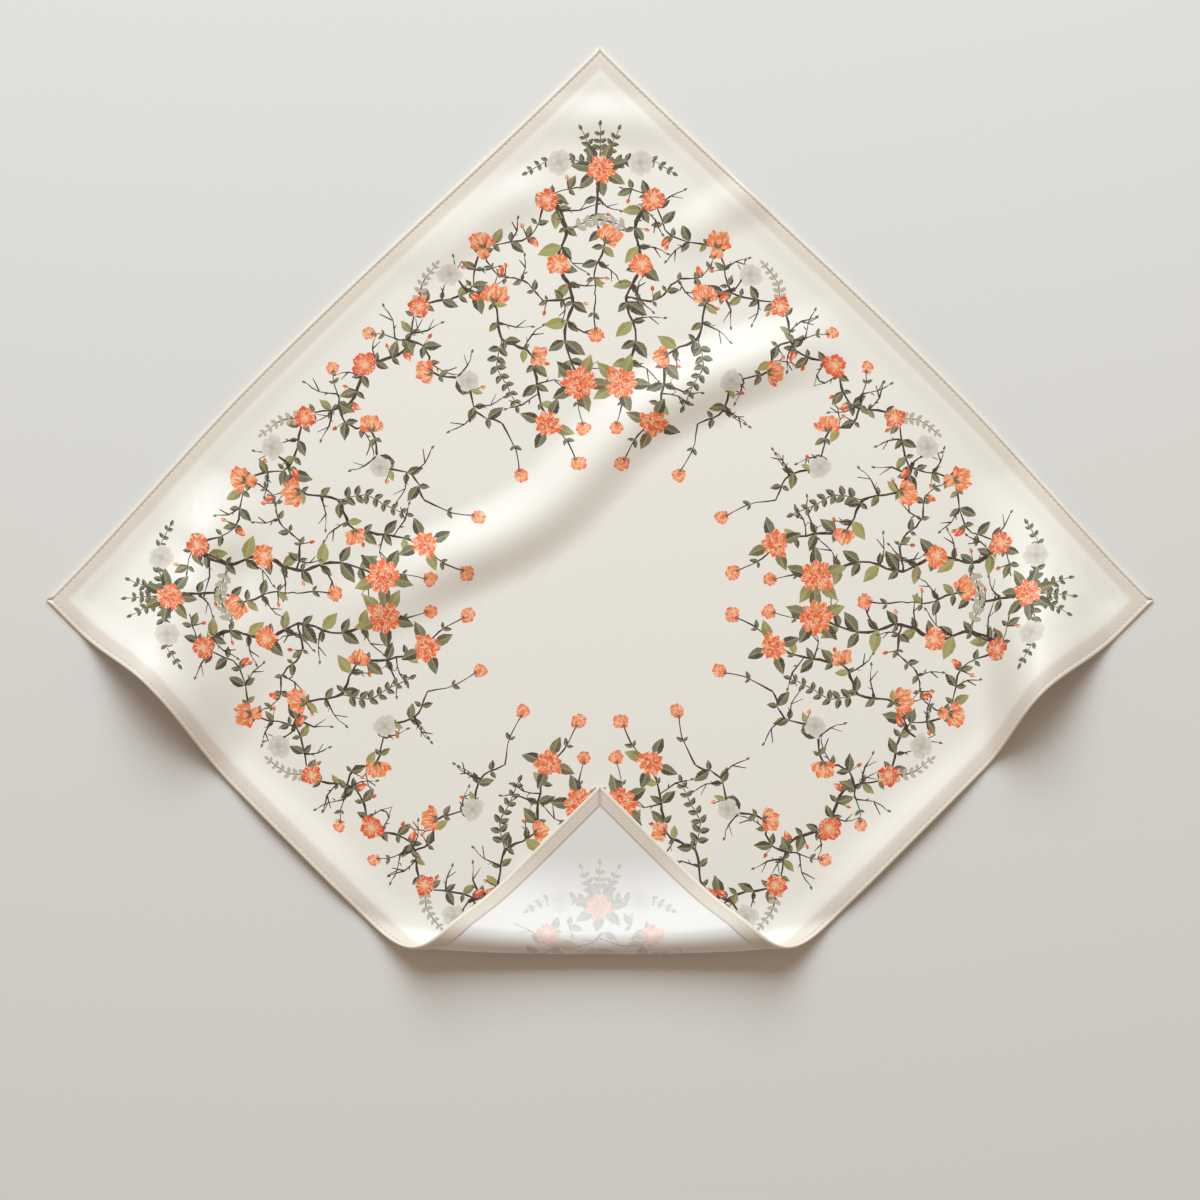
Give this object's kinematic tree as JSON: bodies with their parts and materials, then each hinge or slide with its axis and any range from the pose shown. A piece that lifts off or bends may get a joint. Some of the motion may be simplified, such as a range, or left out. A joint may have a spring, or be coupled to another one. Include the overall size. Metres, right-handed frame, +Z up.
{
  "type": "silk neckerchief",
  "caption": "Square hemmed silk neckerchief lying as a diamond with one corner turned up and over.",
  "frame": {"origin": "middle of the bounding box's foot, on the surface that the cloth lies on", "axes": "+X across the cloth from its left corner to its right one, +Y away from the turned corner, +Z up"},
  "size_m": [0.7492, 0.614, 0.0368],
  "materials": {
    "printed_silk": "light silk twill in warm ivory with a small coral, sage and grey floral print, soft satin sheen",
    "hem_silk": "the same silk folded double in a plain pale beige border, matt with a soft sheen"
  },
  "bodies": {
    "root": {"silk_panel": "printed_silk", "hem_lower_left": "hem_silk", "hem_lower_right": "hem_silk", "hem_upper_right": "hem_silk", "hem_upper_left": "hem_silk"}
  },
  "joints": []
}
